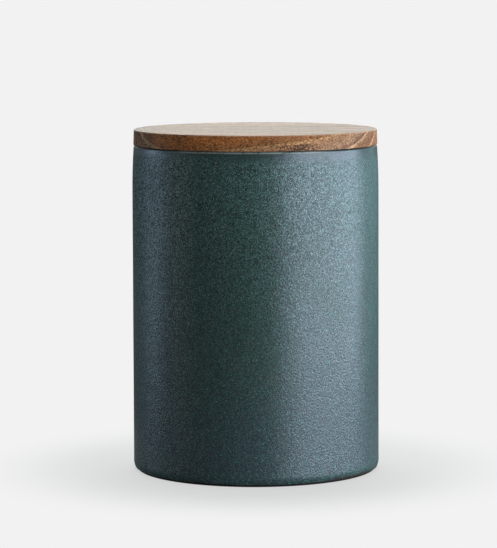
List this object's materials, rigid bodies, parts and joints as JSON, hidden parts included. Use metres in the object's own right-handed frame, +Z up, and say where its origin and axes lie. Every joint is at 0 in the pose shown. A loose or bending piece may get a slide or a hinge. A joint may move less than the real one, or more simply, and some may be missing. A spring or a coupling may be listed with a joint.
{
  "type": "storage jar",
  "caption": "Round glazed stoneware storage jar with a flat turned wooden lid, sealed by a silicone ring on the lid's plug; the lid lifts straight off.",
  "frame": {"origin": "centre of the foot ring, on the surface that the jar stands on", "axes": "+Z up along the jar's axis, out of its mouth; the wood grain of the lid runs along X; -Y faces the picture's camera"},
  "size_m": [0.1084, 0.1084, 0.15],
  "materials": {
    "glazed_stoneware": "matt teal reactive glaze with a fine pale speckle, bare dark clay at the foot",
    "oiled_wood": "turned brown hardwood, thin oil, flat sawn board with the grain along X",
    "silicone": "milky see-through silicone, smooth moulded"
  },
  "bodies": {
    "jar": {"stoneware_jar": "glazed_stoneware"},
    "lid": {"wooden_lid": "oiled_wood", "silicone_seal": "silicone"}
  },
  "joints": [
    {"name": "lid_lift", "type": "slide", "parent": "jar", "child": "lid", "axis": [0, 0, 1], "range_m": [0, 0.15]}
  ]
}
